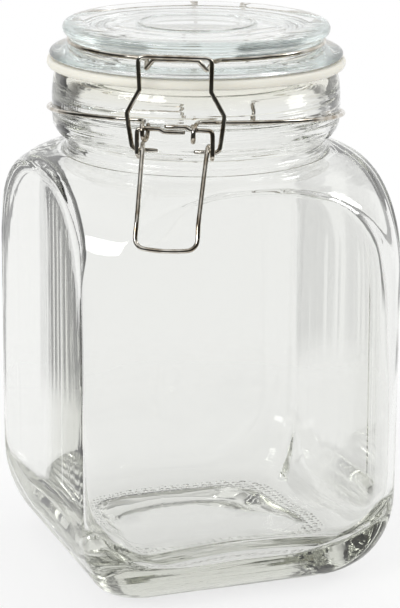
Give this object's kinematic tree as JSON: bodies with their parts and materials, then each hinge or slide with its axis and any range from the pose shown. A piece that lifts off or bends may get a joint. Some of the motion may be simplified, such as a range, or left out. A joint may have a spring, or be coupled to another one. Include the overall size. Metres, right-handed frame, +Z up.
{
  "type": "clip-top glass jar",
  "caption": "Square glass jar with a round neck, hinged glass lid with a sealing ring, and a wire lever and bail that clamp it shut.",
  "frame": {"origin": "on the jar's axis, level with the surface it stands on", "axes": "+Z up along the jar's axis; the clip faces -Y and the lid's hinge faces +Y; the hinge and clip axes run along X"},
  "size_m": [0.1458, 0.1458, 0.1908],
  "materials": {
    "clear_glass": "clear, polished by moulding",
    "lid_glass": "clear with a faint blue-green tint",
    "silicone": "milky, satin",
    "steel_wire": "bright drawn wire"
  },
  "bodies": {
    "jar_body": {"jar": "clear_glass", "neck_wire": "steel_wire"},
    "lid_body": {"lid": "lid_glass", "seal_ring": "silicone", "lid_wire": "steel_wire"},
    "lever_body": {"lever": "steel_wire"},
    "bail_body": {"bail": "steel_wire"}
  },
  "joints": [
    {"name": "lid_hinge", "type": "hinge", "parent": "jar_body", "child": "lid_body", "pos_m": [0, 0.0529, 0.171], "axis": [-1, 0, 0], "range_deg": [0, 115]},
    {"name": "lever_pivot", "type": "hinge", "parent": "jar_body", "child": "lever_body", "pos_m": [0.0018, -0.0542, 0.16349], "axis": [-1, 0, 0], "range_deg": [0, 110]},
    {"name": "bail_pivot", "type": "hinge", "parent": "lever_body", "child": "bail_body", "pos_m": [0.0018, -0.052, 0.15599], "axis": [1, 0, 0], "range_deg": [0, 138]}
  ],
  "couplings": [
    {"joint": "bail_pivot", "follows": "lever_pivot", "ratio": 1.25}
  ]
}
